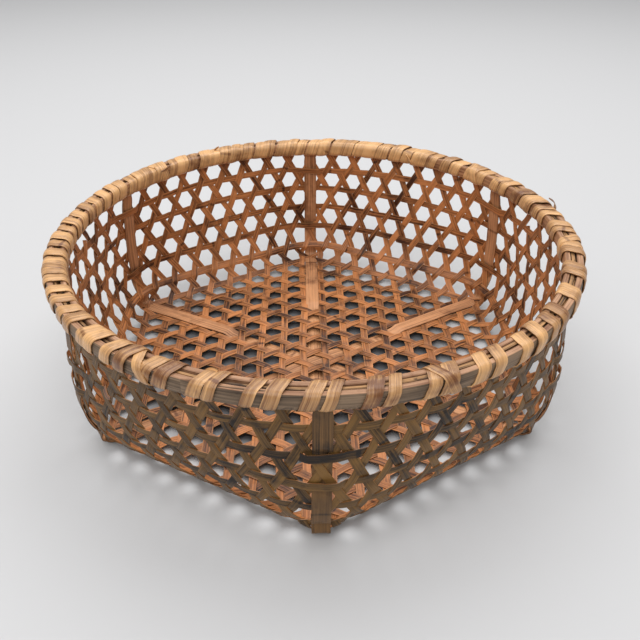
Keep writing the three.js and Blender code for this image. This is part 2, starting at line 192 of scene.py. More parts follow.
def rowsAt(height):
    # how many rows of crossings lie below a height
    low, high = basket["rowsEase"]
    onWall = 0.5 + (height - basket["firstWeft"]) / rowPitch
    lowRows, highRows = low / pitch, 0.5 + (high - basket["firstWeft"]) / rowPitch
    between = lowRows + (highRows - lowRows) * (height - low) / (high - low)
    return np.where(height < low, height / pitch, np.where(height > high, onWall, between))


def overUnder(toUnder, toOver):
    # how far a strip stands inwards, by its distance from the strip under it and from the one over it
    free = np.maximum(toUnder + toOver - basket["stripWidth"], basket["leastFree"])
    share = np.clip((toOver - toUnder) / free, -1, 1)
    return basket["overUnder"] * share * (1.5 - 0.5 * share * share)


def fromLine(count):
    return np.abs(count - 0.5 - np.round(count - 0.5)) * pitch


def wallLift(family, around, height):
    rows = rowsAt(height)
    toRight = fromLine(around - rows / 2)
    toLeft = fromLine(around + rows / 2)
    nearestWeft = np.clip(np.round(rows - 0.5), -holes, basket["wefts"] - 1) + 0.5
    toWeft = np.abs(rows - nearestWeft) * pitch
    if family == "right":
        return overUnder(toLeft, toWeft)
    if family == "left":
        return overUnder(toWeft, toRight)
    return overUnder(toRight, toLeft)


families = {"a": math.radians(90), "b": math.radians(30), "c": math.radians(150)}
goesOver = {"a": "b", "b": "c", "c": "a"}
goesUnder = {"a": "c", "b": "a", "c": "b"}


def baseLift(family, x, y):
    def toFamily(name):
        across = families[name] - math.pi / 2
        return fromLine((x * math.cos(across) + y * math.sin(across)) / pitch)

    return overUnder(toFamily(goesOver[family]), toFamily(goesUnder[family]))


def addGrid(name, points):
    # a grid primitive with its points laid where they belong: station by station, and edge to edge
    stations, edges = points.shape[:2]
    bpy.ops.object.select_all(action="DESELECT")
    bpy.ops.mesh.primitive_grid_add(x_subdivisions=edges - 1, y_subdivisions=stations - 1, size=1)
    piece = bpy.context.object
    piece.name = name
    piece.data.name = name
    piece.data.vertices.foreach_set("co", points.reshape(-1).astype(np.float32))
    piece.data.update()
    return piece


def writeAttribute(piece, name, values):
    kind, field = ("FLOAT_VECTOR", "vector") if values.ndim == 2 else ("FLOAT", "value")
    attribute = piece.data.attributes.new(name, kind, "POINT")
    attribute.data.foreach_set(field, values.reshape(-1).astype(np.float32))


def stripGrain(alongAt, acrossAt, seed):
    # place along the strip, place across it, and one number that parts it from the other strips
    along, across = np.broadcast_arrays(alongAt[:, None], acrossAt)
    return np.stack([along, across, np.full(along.shape, seed * 0.37)], -1).reshape(-1, 3)


def stripTone(alongAt, seed):
    # darker and lighter stretches
    return 0.5 * slowNoise(alongAt, seed + 9, 7)


def finishPiece(piece, material, node):
    bpy.ops.object.shade_smooth_by_angle(angle=math.radians(40))
    piece.data.materials.clear()
    piece.data.materials.append(material)
    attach(piece, "root")
    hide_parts(node)


# A strip of split bamboo: a flat grid along its path, then given its thickness. Shade is one number
# or one for each station; alongAt is the place of each station along the strip.
def addStrip(name, points, thickness, seed, shade, alongAt, material, node):
    stations, edges = points.shape[:2]
    piece = addGrid(name, points)
    thick = piece.modifiers.new("thickness", "SOLIDIFY")
    thick.thickness = thickness
    thick.offset = 0
    bpy.ops.object.modifier_apply(modifier="thickness")
    width = np.linalg.norm(points[:, -1] - points[:, 0], axis=1)
    grain = stripGrain(alongAt, width[:, None] * np.linspace(-0.5, 0.5, edges), seed)
    tone = shade + stripTone(alongAt, seed)
    # Solidify has written the points once for each side, and the second side has the skin
    writeAttribute(piece, "grain", np.concatenate([grain, grain]))
    writeAttribute(piece, "skin", np.repeat([0.0, 1.0], stations * edges))
    writeAttribute(piece, "tone", np.tile(np.repeat(tone, edges), 2))
    writeAttribute(piece, "edge", np.tile(np.abs(np.linspace(-1, 1, edges)), 2 * stations))
    finishPiece(piece, material, node)


# Materials

class Wires:
    def __init__(self, tree):
        self.tree = tree

    def add(self, kind, **values):
        node = self.tree.nodes.new(kind)
        for key, value in values.items():
            setattr(node, key, value)
        return node

    def link(self, source, target):
        self.tree.links.new(source, target)

    def value(self, target, given):
        if hasattr(given, "is_linked"):
            self.link(given, target)
        else:
            target.default_value = given

    def maths(self, operation, first, second=None, third=None):
        node = self.add("ShaderNodeMath", operation=operation)
        for socket, given in zip(node.inputs, (first, second, third)):
            if given is not None:
                self.value(socket, given)
        return node.outputs[0]

    def vectors(self, operation, first, second):
        node = self.add("ShaderNodeVectorMath", operation=operation)
        self.link(first, node.inputs[0])
        node.inputs[1].default_value = second
        return node.outputs["Value" if operation == "DOT_PRODUCT" else "Vector"]

    def part(self, vector, axis):
        node = self.add("ShaderNodeSeparateXYZ")
        self.link(vector, node.inputs[0])
        return node.outputs["XYZ".index(axis)]

    def noise(self, vector, scale, detail, rough):
        node = self.add("ShaderNodeTexNoise")
        self.link(vector, node.inputs["Vector"])
        for key, given in (("Scale", scale), ("Detail", detail), ("Roughness", rough)):
            node.inputs[key].default_value = given
        return node.outputs[0]

    def spread(self, source, low, high, newLow=0.0, newHigh=1.0):
        node = self.add("ShaderNodeMapRange")
        self.link(source, node.inputs["Value"])
        for key, given in (("From Min", low), ("From Max", high), ("To Min", newLow), ("To Max", newHigh)):
            node.inputs[key].default_value = given
        return node.outputs[0]

    def mix(self, share, first, second):
        node = self.add("ShaderNodeMix", data_type="RGBA")
        for index, given in ((0, share), (6, first), (7, second)):
            self.value(node.inputs[index], given)
        return node.outputs[2]


def newMaterial(name):
    material = bpy.data.materials.new(name)
    material.use_nodes = True
    nodes = material.node_tree.nodes
    nodes.clear()
    output = nodes.new("ShaderNodeOutputMaterial")
    shader = nodes.new("ShaderNodeBsdfPrincipled")
    material.node_tree.links.new(shader.outputs[0], output.inputs[0])
    return material, Wires(material.node_tree), shader


def linear(red, green, blue):
    def part(value):
        value /= 255
        return value / 12.92 if value <= 0.04045 else ((value + 0.055) / 1.055) ** 2.4

    return (part(red), part(green), part(blue), 1)


# Each finish: the split inside of the bamboo and its skin, both light and dark, and its edges: worn lighter
# on the weave, and darker on the braces, lashing and splints, partly wear and partly painted shade between
# the strips
bambooLooks = {
    "weave": {"inner": (204, 132, 78), "innerDark": (64, 33, 15), "skin": (128, 93, 46),
              "skinDark": (28, 17, 8), "edge": (214, 156, 104), "edgeShare": 0.5, "rough": 0.44},
    "brace": {"inner": (214, 154, 108), "innerDark": (112, 70, 42), "skin": (124, 90, 52),
              "skinDark": (46, 32, 18), "edge": (120, 78, 48), "edgeShare": 0.4, "rough": 0.46,
              # near the floor the braces are painted lighter: painted light where the weave shades them
              "paintedShadeNearFloor": -0.15},
    "lashing": {"inner": (232, 180, 122), "innerDark": (116, 72, 40), "skin": (232, 180, 122),
                "skinDark": (116, 72, 40), "edge": (84, 50, 28), "edgeShare": 0.9, "rough": 0.28,
                "specular": 0.5, "streaks": 0.7},
    "hoop": {"inner": (196, 152, 118), "innerDark": (118, 76, 50), "skin": (142, 118, 94),
             "skinDark": (66, 52, 40), "rough": 0.5},
    "innerHoop": {"inner": (196, 152, 118), "innerDark": (118, 76, 50), "skin": (198, 146, 104),
                  "skinDark": (112, 70, 44), "rough": 0.46},
    "splint": {"inner": (206, 156, 104), "innerDark": (58, 38, 24), "skin": (206, 156, 104),
               "skinDark": (58, 38, 24), "edge": (40, 26, 18), "edgeShare": 0.5, "rough": 0.6},
}
# near the floor the weave is painted darker: painted shade on the base
usualLook = {"specular": 0.35, "streaks": 1.0, "paintedShadeNearFloor": 0.13, "edgeShare": 0.0}
# Marks repeat so often per metre along a strip and across it; the third number parts one strip from the next
grainLook = {"fibres": (28, 2600, 40), "streaks": (9, 640, 40), "patches": (22, 90, 40), "stains": 30,
             "joints": 4.1, "jointOffset": 0.618, "lowest": (0.008, 0.04), "bump": 0.4, "bumpDepth": 0.0004}


def bambooMaterial(name, ownLook):
    look = {**usualLook, **ownLook}
    material, wires, shader = newMaterial(name)
    grain = wires.add("ShaderNodeAttribute", attribute_name="grain").outputs["Vector"]
    skin, tone, edge = (wires.add("ShaderNodeAttribute", attribute_name=key).outputs["Fac"]
                        for key in ("skin", "tone", "edge"))
    place = wires.add("ShaderNodeTexCoord").outputs["Object"]
    fibres = wires.noise(wires.vectors("MULTIPLY", grain, grainLook["fibres"]), 1.0, 3.0, 0.6)
    streaks = wires.noise(wires.vectors("MULTIPLY", grain, grainLook["streaks"]), 1.0, 2.0, 0.5)
    patches = wires.noise(wires.vectors("MULTIPLY", grain, grainLook["patches"]), 1.0, 3.0, 0.55)
    stains = wires.noise(place, grainLook["stains"], 4.0, 0.6)
    # joints of the bamboo: a thin dark line across, now and then
    joint = wires.maths("MULTIPLY_ADD", wires.part(grain, "Z"), grainLook["jointOffset"],
                        wires.maths("MULTIPLY", wires.part(grain, "X"), grainLook["joints"]))
    joint = wires.maths("ABSOLUTE", wires.maths("SUBTRACT", wires.maths("FRACT", joint), 0.5))

    dark = tone
    for mark, low, high, atLow, atHigh in (
            (fibres, 0.3, 0.7, 0.0, 0.5),
            (streaks, 0.3, 0.7, -0.3 * look["streaks"], 0.42 * look["streaks"]),
            (patches, 0.3, 0.75, -0.2, 0.4),
            (stains, 0.52, 0.72, 0.0, 0.6),
            # painted shade near the floor: the weave darker low down, and the braces lighter there as painted
            # light
            (wires.part(place, "Z"), *grainLook["lowest"], look["paintedShadeNearFloor"], 0.0),
            (joint, 0.003, 0.009, 0.45, 0.0)):
        dark = wires.maths("ADD", dark, wires.spread(mark, low, high, atLow, atHigh))
    dark.node.use_clamp = True
    inner = wires.mix(dark, linear(*look["inner"]), linear(*look["innerDark"]))
    outer = wires.mix(dark, linear(*look["skin"]), linear(*look["skinDark"]))
    colour = wires.mix(wires.spread(skin, 0.35, 0.65), inner, outer)
    # edge colour: worn lighter edges on the weave; the dark edges of the braces, lashing and splints are
    # partly wear and partly painted shade in the gaps between strips and turns
    if look["edgeShare"]:
        edgeWearAndShade = wires.maths("MULTIPLY", wires.spread(edge, 0.66, 1.0, 0.0, look["edgeShare"]),
                           wires.spread(patches, 0.4, 0.6, 0.2, 1.0))
        edgeWearAndShade = wires.maths("MULTIPLY", edgeWearAndShade, wires.spread(skin, 0.3, 0.6, 1.0, 0.1))
        colour = wires.mix(edgeWearAndShade, colour, linear(*look["edge"]))
    wires.link(colour, shader.inputs["Base Color"])
    wires.link(wires.spread(fibres, 0.2, 0.8, look["rough"] - 0.08, look["rough"] + 0.12),
               shader.inputs["Roughness"])
    shader.inputs["Specular IOR Level"].default_value = look["specular"]
    bump = wires.add("ShaderNodeBump")
    bump.inputs["Strength"].default_value = grainLook["bump"]
    bump.inputs["Distance"].default_value = grainLook["bumpDepth"]
    wires.link(fibres, bump.inputs["Height"])
    wires.link(bump.outputs[0], shader.inputs["Normal"])
    return material


weaveMaterial = bambooMaterial("wovenBamboo", bambooLooks["weave"])
braceMaterial = bambooMaterial("braceBamboo", bambooLooks["brace"])
lashingMaterial = bambooMaterial("lashingBamboo", bambooLooks["lashing"])
splintMaterial = bambooMaterial("splintBamboo", bambooLooks["splint"])
hoopMaterial = bambooMaterial("hoopBamboo", bambooLooks["hoop"])
innerHoopMaterial = bambooMaterial("innerHoopBamboo", bambooLooks["innerHoop"])
print("bamboo finishes made")

# Stakes

stakes = {
    "stationStep": 0.0022,
    "crown": 0.00012,              # how far the edges of a strip lie behind its middle
    "wander": 0.003,
    "widths": (0.93, 1.06),        # of the usual width, from one stake to the next
    "widthChange": 0.22,           # along a stake
    "widerOnBase": 0.07,
    "widerWithin": 0.04,           # it narrows over this length before the fold
    "shade": 0.16,
    "slope": 0.885,                # height gained per length of a stake on the wall
    "liftEase": 0.004,             # over and under changes from the base's order to the wall's about height 0
    "broken": {("b", 13): 0.121, ("c", 3): 0.124},     # stake: height where its end broke off
}
acrossShares = np.linspace(-0.5, 0.5, 5)


def stakeEnd(family, offset, sign):
    # which way one end of a stake climbs, and where round the basket it crosses the fold line
    turn = 1 if sign * offset > 0 else -1
    heading = families[family] + (math.pi if sign < 0 else 0) - turn * math.radians(30)
    side = round(heading / math.radians(60)) % 6
    lines = abs(offset) / pitch
    return turn, side * holes + (holes - lines if turn > 0 else lines)


def climbingEnd(turn, crossing, travel, outside):
    # place round the basket and height, by the travel past the fold line and the distance to the right
    flatSlope = 1 / toCorner
    step = 0.001
    centre = travel * (flatSlope + (stakes["slope"] - flatSlope) * (travel > 0))
    sideways = turn * holeStep / 2 * (rowsAt(centre + step) - rowsAt(centre - step)) / (2 * step)
    length = np.sqrt(1 + sideways**2)
    around = crossing + turn * rowsAt(centre) / 2 + outside / length / holeStep
    return around, centre - outside * sideways / length


def stakePoints(family, offset, seed):
    own = np.random.default_rng(seed)
    baseHalf = (baseApothem - abs(offset) / 2) * toCorner     # middle of the base to the fold line
    half = baseHalf + stripEnd / stakes["slope"]
    brokenAt = stakes["broken"].get((family, round(offset / pitch + holes - 0.5)), stripEnd)
    farEnd = half - (stripEnd - brokenAt) / stakes["slope"]
    along = np.linspace(-half, farEnd, int((half + farEnd) / stakes["stationStep"]))
    onBase = 1 - smooth(np.abs(along), baseHalf - stakes["widerWithin"], baseHalf)
    width = basket["stripWidth"] * (1 + stakes["widthChange"] * slowNoise(along, seed + 1))
    width = width * own.uniform(*stakes["widths"]) * (1 + stakes["widerOnBase"] * onBase)
    drift = stakes["wander"] * slowNoise(along, seed + 2)
    ahead, right = towards(families[family]), towards(families[family] - math.pi / 2)
    points = np.zeros((len(along), len(acrossShares), 3))
    lift = np.zeros(points.shape[:2])
    for index, share in enumerate(acrossShares):
        side = share * width + drift
        flat = right * (offset + side)[:, None] + ahead * along[:, None]
        flatLift = baseLift(family, flat[:, 0], flat[:, 1])
        points[:, index] = basePoint(flat[:, 0], flat[:, 1])
        lift[:, index] = flatLift
        for sign in (-1, 1):
            turn, crossing = stakeEnd(family, offset, sign)
            around, height = climbingEnd(turn, crossing, sign * along - baseHalf, -sign * side)
            used = height > turnStart
            points[used, index] = wallPoint(around, height)[used]
            raised = wallLift("right" if turn > 0 else "left", around, height)
            change = smooth(height, -stakes["liftEase"], stakes["liftEase"])
            lift[used, index] = (flatLift + (raised - flatLift) * change)[used]
    return along, points, lift


def inwardNormals(points):
    # normals of a strip that point up from the base and in from the wall
    normal = unit(np.cross(np.gradient(points, axis=1), np.gradient(points, axis=0)))
    mouth = np.array([0, 0, basket["hoopTop"]])
    return normal * np.sign((normal * (mouth - points)).sum())


def addStake(name, family, offset, seed, node):
    along, points, lift = stakePoints(family, offset, seed)
    crown = stakes["crown"] * (acrossShares * 2) ** 2
    points = points + inwardNormals(points) * (lift + crown)[..., None]
    shade = np.random.default_rng(seed + 5).normal(0, stakes["shade"])
    addStrip(name, points, basket["stripThickness"], seed, shade, along, weaveMaterial, node)


nodeNames = set(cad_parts)
for index in range(2 * holes):
    number = f"{index + 1:02d}"
    for family in "abc":
        node = f"stake_{family}_{number}"
        if node not in nodeNames:
            node = f"stake_pair_{index - holes + 1:02d}"
        addStake(f"woven{family.upper()}{number}", family, (index + 0.5 - holes) * pitch,
                 100 * ord(family) + index, node)
print("stakes woven")

# Wefts

wefts = {
    "stationStep": 0.0024,
    "firstEnd": 3.0,               # place of the lowest weft's end; each next one starts a side further on
    "lap": 1.6,                    # holes over which its ends overlap
    "lapLift": 0.0008,             # its second end lies this far inside the first,
    "lapRise": 0.4,                # from this many holes before it
    "widthChange": 0.25, "wander": 0.0038, "shade": (0.05, 0.12),
    "bump": 0.0029,                # it bends out or in by this where it passes a brace
    "bumpReach": (0.009, 0.019),
    "stains": {3: (45, 3.4, 0.4), 2: (50, 2.0, 0.25), 0: (38, 3.0, 0.25)},    # row: place, reach, darkness
}
outsideOfBrace = {5: (2, 3), 0: (2, 3), 4: (2, 3)}     # corner: the two rows that lie outside the brace
insideOfBrace = {1: (1, 4), 2: (1, 4), 3: (1, 4)}


def weftHeight(row):
    return basket["firstWeft"] + row * rowPitch


def addWeft(row, seed):
    length = (aroundHoles + wefts["lap"]) * holeStep
    along = np.linspace(0, length, int(length / wefts["stationStep"]))
    around = row * holes + wefts["firstEnd"] + along / holeStep
    width = basket["stripWidth"] * (1 + wefts["widthChange"] * slowNoise(along, seed + 1, 7))
    middle = weftHeight(row) + wefts["wander"] * slowNoise(along, seed + 2, 7)
    height = middle[:, None] + width[:, None] * acrossShares
    place = np.broadcast_to(around[:, None], height.shape)
    lapAt = np.array([aroundHoles - wefts["lapRise"], aroundHoles]) * holeStep
    push = wefts["lapLift"] * smooth(along, *lapAt)
    for corners, sign in ((outsideOfBrace, -1), (insideOfBrace, 1)):
        for corner, rows in corners.items():
            if row in rows:
                away = np.abs((around - corner * holes + aroundHoles / 2) % aroundHoles - aroundHoles / 2)
                near, far = wefts["bumpReach"]
                push = push + sign * wefts["bump"] * smooth(-away * holeStep, -far, -near)
    lift = wallLift("weft", place, height) + push[:, None]
    points = wallPoint(place, height)
    points = points + inwardNormals(points) * lift[..., None]
    shade = np.random.default_rng(seed + 20).normal(*wefts["shade"])
    if row in wefts["stains"]:
        stainAt, reach, darkness = wefts["stains"][row]
        shade = shade + darkness * np.exp(-((around % aroundHoles - stainAt) / reach) ** 2)
    addStrip(f"weft{row + 1}", points, basket["stripThickness"], seed, shade, along,
             weaveMaterial, f"weft_{row + 1}")


for row in range(basket["wefts"]):
    addWeft(row, 700 + row)
print("wefts woven")

# Braces

braces = {
    "width": 0.0152, "thickness": 0.0014, "crown": 0.0003, "stationStep": 0.002,
    "stack": 0.0017,               # from one brace to the next that lies on it, under the centre
    "unstack": (0.024, 0.05),      # distance from the centre over which they come down from the stack
    "floorGap": 0.0003,
    "clear": 0.00158,              # from the middle of the weave, on either side of it
    "diveHole": 4.1,               # hole from the centre where a brace comes up through the base
    # where a brace changes sides, from and to, about a weft, the diving hole, the fold and its top
    "frontIn": (-0.013, -0.003), "frontOut": (0.002, 0.011),
    "dive": (-0.003, 0.003), "leaveBase": (-0.016, -0.006),
    "backIn": (-0.002, 0.008), "backOut": (-0.01, 0), "backTop": 0.0001,
    "atRim": (-0.03, -0.014), "rimFront": -0.0026, "rimBack": 0.0013,
    "layBefore": 0.007,            # the back half lies on the floor until this far before its dive
    "layEase": (-0.012, 0.004),
    "wander": 0.0012, "widthChange": 0.03, "taper": 0.3, "taperLength": 0.02,
}
braceShares = np.linspace(-0.5, 0.5, 7)


def levels(values, first, *steps):
    # a level that changes smoothly at each step: its place, from and to about that place, and the new level
    result = np.full_like(values, first)
    for place, change, level in steps:
        result = result + (level - result) * smooth(values - place, *change)
    return result


def braceLine(frontCorner, order):
    # radius and height of the middle of a brace: down a back corner, over and under the base, up the front
    clear = braces["clear"]
    heights = np.arange(-baseApothem, stripEnd, 0.001)
    flatReach = (baseApothem + heights) * toCorner
    corner = math.radians(60 * frontCorner - 30)
    flat = basePoint(flatReach * math.cos(corner), flatReach * math.sin(corner))
    onWall = wallPoint(np.full_like(heights, frontCorner * holes), np.maximum(heights, turnStart))
    weave = np.where((heights > turnStart)[:, None], onWall, flat)
    line = np.stack([np.linalg.norm(weave[:, :2], axis=1), weave[:, 2]], -1)
    slope = np.gradient(line, axis=0)
    inward = unit(np.stack([-slope[:, 1], slope[:, 0]], -1))

    # how far inside the weave it runs, from the centre upwards
    firstOut, lastOut = (weftHeight(row) for row in outsideOfBrace[frontCorner])
    firstIn, lastIn = (weftHeight(row) for row in insideOfBrace[(frontCorner + 3) % 6])
    dive = braces["diveHole"] * pitch - baseApothem
    frontSide = levels(heights, -clear, (firstOut, braces["frontIn"], clear),
                       (lastOut, braces["frontOut"], -clear), (stripEnd, braces["atRim"], braces["rimFront"]))
    backSide = levels(heights, -clear, (dive, braces["dive"], clear), (0, braces["leaveBase"], -clear),
                      (firstIn, braces["backIn"], clear), (lastIn, braces["backOut"], braces["backTop"]),
                      (stripEnd, braces["atRim"], braces["rimBack"]))
    stackLevel = braces["thickness"] / 2 + braces["floorGap"]
    stackLevel = stackLevel + order * braces["stack"] * (1 - smooth(flatReach, *braces["unstack"]))
    halves = []
    for side, layUntil in ((frontSide, foldStart), (backSide, dive - braces["layBefore"])):
        path = line + inward * side[:, None]
        laid = 1 - smooth(heights - layUntil, *braces["layEase"])
        path[:, 1] += (stackLevel - path[:, 1]) * laid
        halves.append(path)
    front, back = halves
    path = np.concatenate([(back * (-1, 1))[::-1], front[2:]])
    for _ in range(3):
        path[1:-1] = (path[:-2] + 2 * path[1:-1] + path[2:]) / 4
    lengths = lengthAlong(path)
    along = np.linspace(0, lengths[-1], int(lengths[-1] / braces["stationStep"]))
    return along, np.interp(along, lengths, path[:, 0]), np.interp(along, lengths, path[:, 1])


def addBrace(name, corner, order):
    along, reach, level = braceLine(corner, order)
    angle = math.radians(60 * corner - 30)
    ahead, right, up = towards(angle), towards(angle - math.pi / 2), np.array([0, 0, 1])
    slope = unit(np.stack([np.gradient(reach), np.gradient(level)], -1))
    inward = -slope[:, 1, None] * ahead + slope[:, 0, None] * up
    middle = reach[:, None] * ahead + level[:, None] * up
    middle = middle + (braces["wander"] * slowNoise(along, 930 + order))[:, None] * right
    width = braces["width"] * (1 + braces["widthChange"] * slowNoise(along, 900 + order))
    for fromEnd in (along, along[-1] - along):
        width = width * (1 - braces["taper"] * smooth(-fromEnd, -braces["taperLength"], 0))
    points = middle[:, None] + (width[:, None] * braceShares)[..., None] * right
    points = points - inward[:, None] * (braces["crown"] * (braceShares * 2) ** 2)[:, None]
    addStrip(f"brace{name}", points, braces["thickness"], 900 + order, 0, along,
             braceMaterial, f"brace_{name.lower()}")


for order, (name, corner) in enumerate((("Front", 5), ("Right", 0), ("Left", 4))):
    addBrace(name, corner, order)
print("braces laid")

# Rim

rim = {
    "outer": (0.2425, 0.249), "inner": (0.2314, 0.2369),     # radii of each hoop's two faces
    "height": 0.0136,
    "lap": math.radians(15), "outerLapAt": math.radians(246.7), "innerLapAt": math.radians(60),
    "tip": 0.002,                  # thickness of a hoop's pared end
    "spare": 0.0003,               # gap between the two ends
    "bevel": 0.0007, "crown": 0.0009, "flatCrown": 0.0001, "stations": 300,
    "meanRadius": 0.24, "unevenRadius": 0.00035, "unevenLevel": 0.0004, "unevenHeight": 0.00028,
}
hoopMiddle = (basket["hoopBottom"] + basket["hoopTop"]) / 2


def addBar(name, sections, skins, seed, material, node):
    # a closed bar through a row of profiles, made from a grid whose two long edges meet
    wrapped = np.concatenate([sections, sections[:, :1]], axis=1)
    piece = addGrid(name, wrapped)
    alongAt = lengthAlong(sections.mean(axis=1))
    acrossAt = np.zeros(wrapped.shape[:2])
    acrossAt[:, 1:] = np.cumsum(np.linalg.norm(np.diff(wrapped, axis=1), axis=2), axis=1)
    writeAttribute(piece, "grain", stripGrain(alongAt, acrossAt, seed))
    writeAttribute(piece, "skin", np.tile(np.append(skins, skins[0]), len(wrapped)))
    writeAttribute(piece, "tone", np.repeat(stripTone(alongAt, seed), wrapped.shape[1]))
    writeAttribute(piece, "edge", np.zeros(acrossAt.size))
    bpy.ops.object.mode_set(mode="EDIT")
    bpy.ops.mesh.select_all(action="SELECT")
    bpy.ops.mesh.remove_doubles(threshold=1e-6)
    bpy.ops.mesh.select_all(action="DESELECT")
    bpy.ops.mesh.select_non_manifold()
    bpy.ops.mesh.fill_holes(sides=0)
    bpy.ops.mesh.select_all(action="SELECT")
    bpy.ops.mesh.normals_make_consistent(inside=False)
    bpy.ops.object.mode_set(mode="OBJECT")
    finishPiece(piece, material, node)


def addHoop(name, radii, lapAt, skinOutside, seed, material, node):
    # one end is pared to a tip on the outside and the other to a tip on the inside, so that they overlap
    low, high = radii
    tip, lap, bevel = rim["tip"], rim["lap"], rim["bevel"]
    turn = np.linspace(0, 2 * math.pi + lap, rim["stations"])
    atStart = np.clip(turn / lap, 0, 1)
    atEnd = np.clip((turn - 2 * math.pi) / lap, 0, 1)
    inside = high - tip + (low + 2 * tip - high + rim["spare"]) * atStart
    inside = np.where(atStart < 1, inside, low)
    outside = np.minimum(high + (low + tip - high) * atEnd, high - tip + (low + 2 * tip - high) * atEnd)
    outside = np.where(atEnd > 0, outside, high)

    alongRim = turn * rim["meanRadius"]
    uneven = rim["unevenRadius"] * slowNoise(alongRim, seed)
    middle = hoopMiddle + rim["unevenLevel"] * slowNoise(alongRim, seed + 1)
    half = (rim["height"] + rim["unevenHeight"] * slowNoise(alongRim, seed + 2)) / 2
    crownOut = np.where(skinOutside & (turn < 2 * math.pi), rim["crown"], rim["flatCrown"])
    crownIn = np.where((not skinOutside) & (turn > lap), rim["crown"], rim["flatCrown"])
    face = ((-1, bevel - half), (-0.45, -0.45 * half), (0.45, 0.45 * half), (1, half - bevel))
    profile = [(outside - crownOut * share**2, reach, skinOutside) for share, reach in face]
    profile.append((outside - crownOut - bevel, half, False))
    profile.append((inside + crownIn + bevel, half, False))
    profile += [(inside + crownIn * share**2, reach, not skinOutside) for share, reach in face[::-1]]
    profile.append((inside + crownIn + bevel, -half, False))
    profile.append((outside - crownOut - bevel, -half, False))
    sections = np.zeros((len(turn), len(profile), 3))
    for index, (radius, reach, _) in enumerate(profile):
        sections[:, index] = towards(lapAt + turn) * (radius + uneven)[:, None]
        sections[:, index, 2] = middle + reach
    addBar(name, sections, np.array([float(skin) for *_, skin in profile]), seed, material, node)


addHoop("outerHoop", rim["outer"], rim["outerLapAt"], True, 1001,
        hoopMaterial, "outer_hoop")
addHoop("innerHoop", rim["inner"], rim["innerLapAt"], False, 1011,
        innerHoopMaterial, "inner_hoop")
print("hoops bent")

# Splints that fill the groove between the hoops

splints = {"lanes": 3, "layers": 3, "thickness": 0.0009, "width": (0.0018, 0.0034),
           "length": (1.9, 2.9),                            # as an angle round the rim
           "low": 0.1562, "high": 0.1622, "inside": 0.2376, "outside": 0.2418, "stationStep": 0.004,
           "widthChange": 0.15, "wander": 0.25, "unevenLevel": 0.0005, "tilt": 0.35, "shade": (-0.1, 0.4)}
splintShares = np.array([-0.5, 0, 0.5])


def addSplint(index, seed):
    own = np.random.default_rng(seed)
    lane = index % splints["lanes"] / (splints["lanes"] - 1)
    layer = index // splints["lanes"] / (splints["layers"] - 1)
    startAt, length = own.uniform(0, 2 * math.pi), own.uniform(*splints["length"])
    stations = int(length * rim["meanRadius"] / splints["stationStep"])
    turn = np.linspace(startAt, startAt + length, stations)
    along = (turn - startAt) * rim["meanRadius"]
    width = own.uniform(*splints["width"]) * (1 + splints["widthChange"] * slowNoise(along, seed + 20))
    room = splints["outside"] - splints["inside"] - width
    laneAt = np.clip(lane + splints["wander"] * slowNoise(along, seed + 40), 0, 1)
    radius = splints["inside"] + width / 2 + room * laneAt
    level = splints["low"] + (splints["high"] - splints["low"]) * layer
    level = level + splints["unevenLevel"] * slowNoise(along, seed + 60)
    tilt = splints["tilt"] * slowNoise(along, seed + 80)
    flat, upright = width * np.cos(tilt), width * np.sin(tilt)
    points = towards(turn)[:, None] * (radius[:, None] + flat[:, None] * splintShares)[..., None]
    points[..., 2] = level[:, None] + upright[:, None] * splintShares
    addStrip(f"splint{index + 1:02d}", points, splints["thickness"], seed, own.uniform(*splints["shade"]),
             along, splintMaterial, "rim_filler")


for index in range(splints["lanes"] * splints["layers"]):
    addSplint(index, 1100 + index)
print("splints laid")

# Lashing: flat strips wound round both hoops, in pairs of turns that stand closer at the back

lashing = {
    "width": 0.0102, "backWidth": 0.0134, "thickness": 0.0009, "crown": 0.0007,
    "strips": 6, "stationsPerTurn": 34,
    "round": 0.0042, "clear": 0.0003,                  # of a loop round the hoops
    "slant": 0.7, "slantFrom": 0.65,                   # holes that a turn moves on over its length
    "changeAt": (-0.12, 0.08),                         # share of a turn over which it leads to the next one
    "pairAngles": (-90, -60, 20, 50, 90, 120, 150, 200, 240, 270),          # degrees round the rim
    "pairHoles": (1.5, 1.5, 1.4, 1.25, 1.0, 1.05, 1.15, 1.2, 1.35, 1.5),    # holes from pair to pair there
    "turnApart": 0.31, "apartAtBack": 0.38,            # between the turns of a pair, as a share of its holes
    "unevenPlace": 0.045, "unevenWidth": 0.15, "widthLimits": (-0.24, 0.14),
    "shade": 0.16, "backLighter": 0.3, "evenBackness": 0.45,
    "swell": 0.001,                                    # every second turn stands out by this
    "loose": 0.0018,                                   # and a few turns by up to this
    # single turns laid across the others: the holes where they begin and end
    "crossing": ((39.5, 40.6), (47.5, 48.5), (34.6, 33.5), (3.0, 3.9), (21.8, 20.9), (26.2, 25.3),
                 (24.9, 25.5), (13.2, 12.5), (9.9, 10.7), (17.6, 17.0), (6.9, 6.1)),
    "crossingSwell": 0.0014, "crossingWidth": 0.74,
}
lashShares = np.array([-0.5, -0.25, 0, 0.25, 0.5])


def lashingLoop(share, swell):
    # radius and height of the loop round the hoops; share runs once round, from below, up the inside
    rounding = lashing["round"]
    low, high = rim["inner"][0] + rounding, rim["outer"][1] - rounding
    bottom, top = basket["hoopBottom"] + rounding, basket["hoopTop"] - rounding
    middle, arc = (low + high) / 2, math.pi / 2 * rounding
    lengths = [0, middle - low, arc, top - bottom, arc, high - low, arc, top - bottom, arc, high - middle]
    ends = np.cumsum(lengths)
    at = share % 1 * ends[-1]
    turned = np.radians(np.interp(at, ends, [0, 0, 90, 90, 180, 180, 270, 270, 360, 360]))
    reach = rounding + lashing["clear"] + lashing["thickness"] / 2 + swell
    radius = np.interp(at, ends, [middle, low, low, low, low, high, high, high, high, middle])
    level = np.interp(at, ends, [bottom, bottom, bottom, top, top, top, top, bottom, bottom, bottom])
    return radius - reach * np.sin(turned), level - reach * np.cos(turned)


